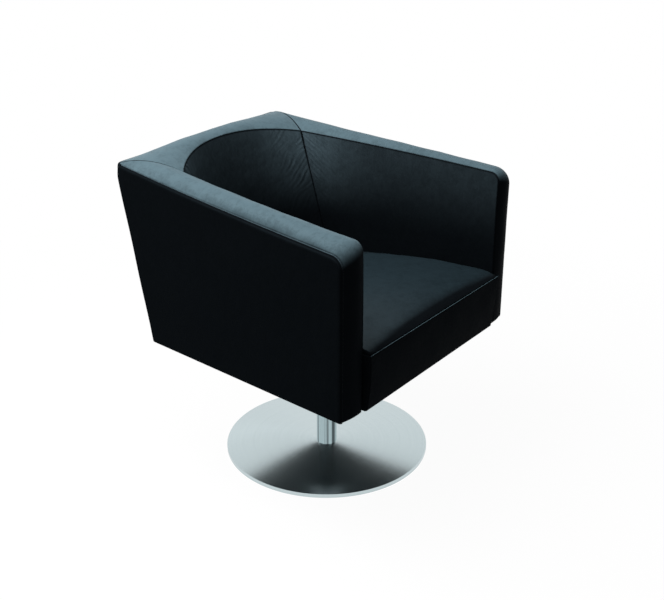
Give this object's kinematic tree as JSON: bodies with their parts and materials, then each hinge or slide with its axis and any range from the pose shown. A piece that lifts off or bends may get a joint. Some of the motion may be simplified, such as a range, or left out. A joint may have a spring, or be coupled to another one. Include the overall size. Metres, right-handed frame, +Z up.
{
  "type": "pedestal swivel armchair",
  "caption": "Low tub armchair with a curved, leaning back and flat-sided arms in black leather, turning freely on a steel post and a round disc foot.",
  "frame": {"origin": "centre of the disc foot's underside, on the swivel axis", "axes": "+Z up along the swivel axis; the seat's front faces -Y and its left arm is at -X"},
  "size_m": [0.6726, 0.7045, 0.7509],
  "materials": {
    "black_leather": "smooth, satin sheen",
    "brushed_stainless": "fine circular brushing",
    "plain_steel": "zinc, satin",
    "black_steel": "matte black",
    "pad_rubber": "matte",
    "bush_plastic": "natural, matte",
    "plywood": "raw plywood",
    "timber": "raw beech",
    "strap_fabric": "woven elastic",
    "cover_fabric": "thin black cloth"
  },
  "bodies": {
    "base": {"base_cover": "brushed_stainless", "ballast_plate": "black_steel", "floor_pad": "pad_rubber", "post_tube": "brushed_stainless", "post_plug": "plain_steel", "foot_bolt": "plain_steel", "lower_bush": "bush_plastic", "upper_bush": "bush_plastic"},
    "seat": {"spindle": "plain_steel", "retaining_ring": "plain_steel", "mounting_plate": "black_steel", "plate_screws": "plain_steel", "seat_board": "plywood", "seat_frame": "timber", "webbing": "strap_fabric", "dust_cover": "cover_fabric", "arm_frame_left": "timber", "arm_frame_right": "timber", "back_frame": "timber", "side_panel_left": "black_leather", "side_panel_right": "black_leather", "rear_panel": "black_leather", "inner_panel_left": "black_leather", "inner_panel_right": "black_leather", "inner_back": "black_leather", "rim_left": "black_leather", "rim_right": "black_leather", "rim_back": "black_leather", "seat_cushion": "black_leather", "seat_front_panel": "black_leather"}
  },
  "joints": [
    {"name": "seat_swivel", "type": "hinge", "parent": "base", "child": "seat", "pos_m": [0, 0, 0.31], "axis": [0, 0, 1], "continuous": true}
  ]
}
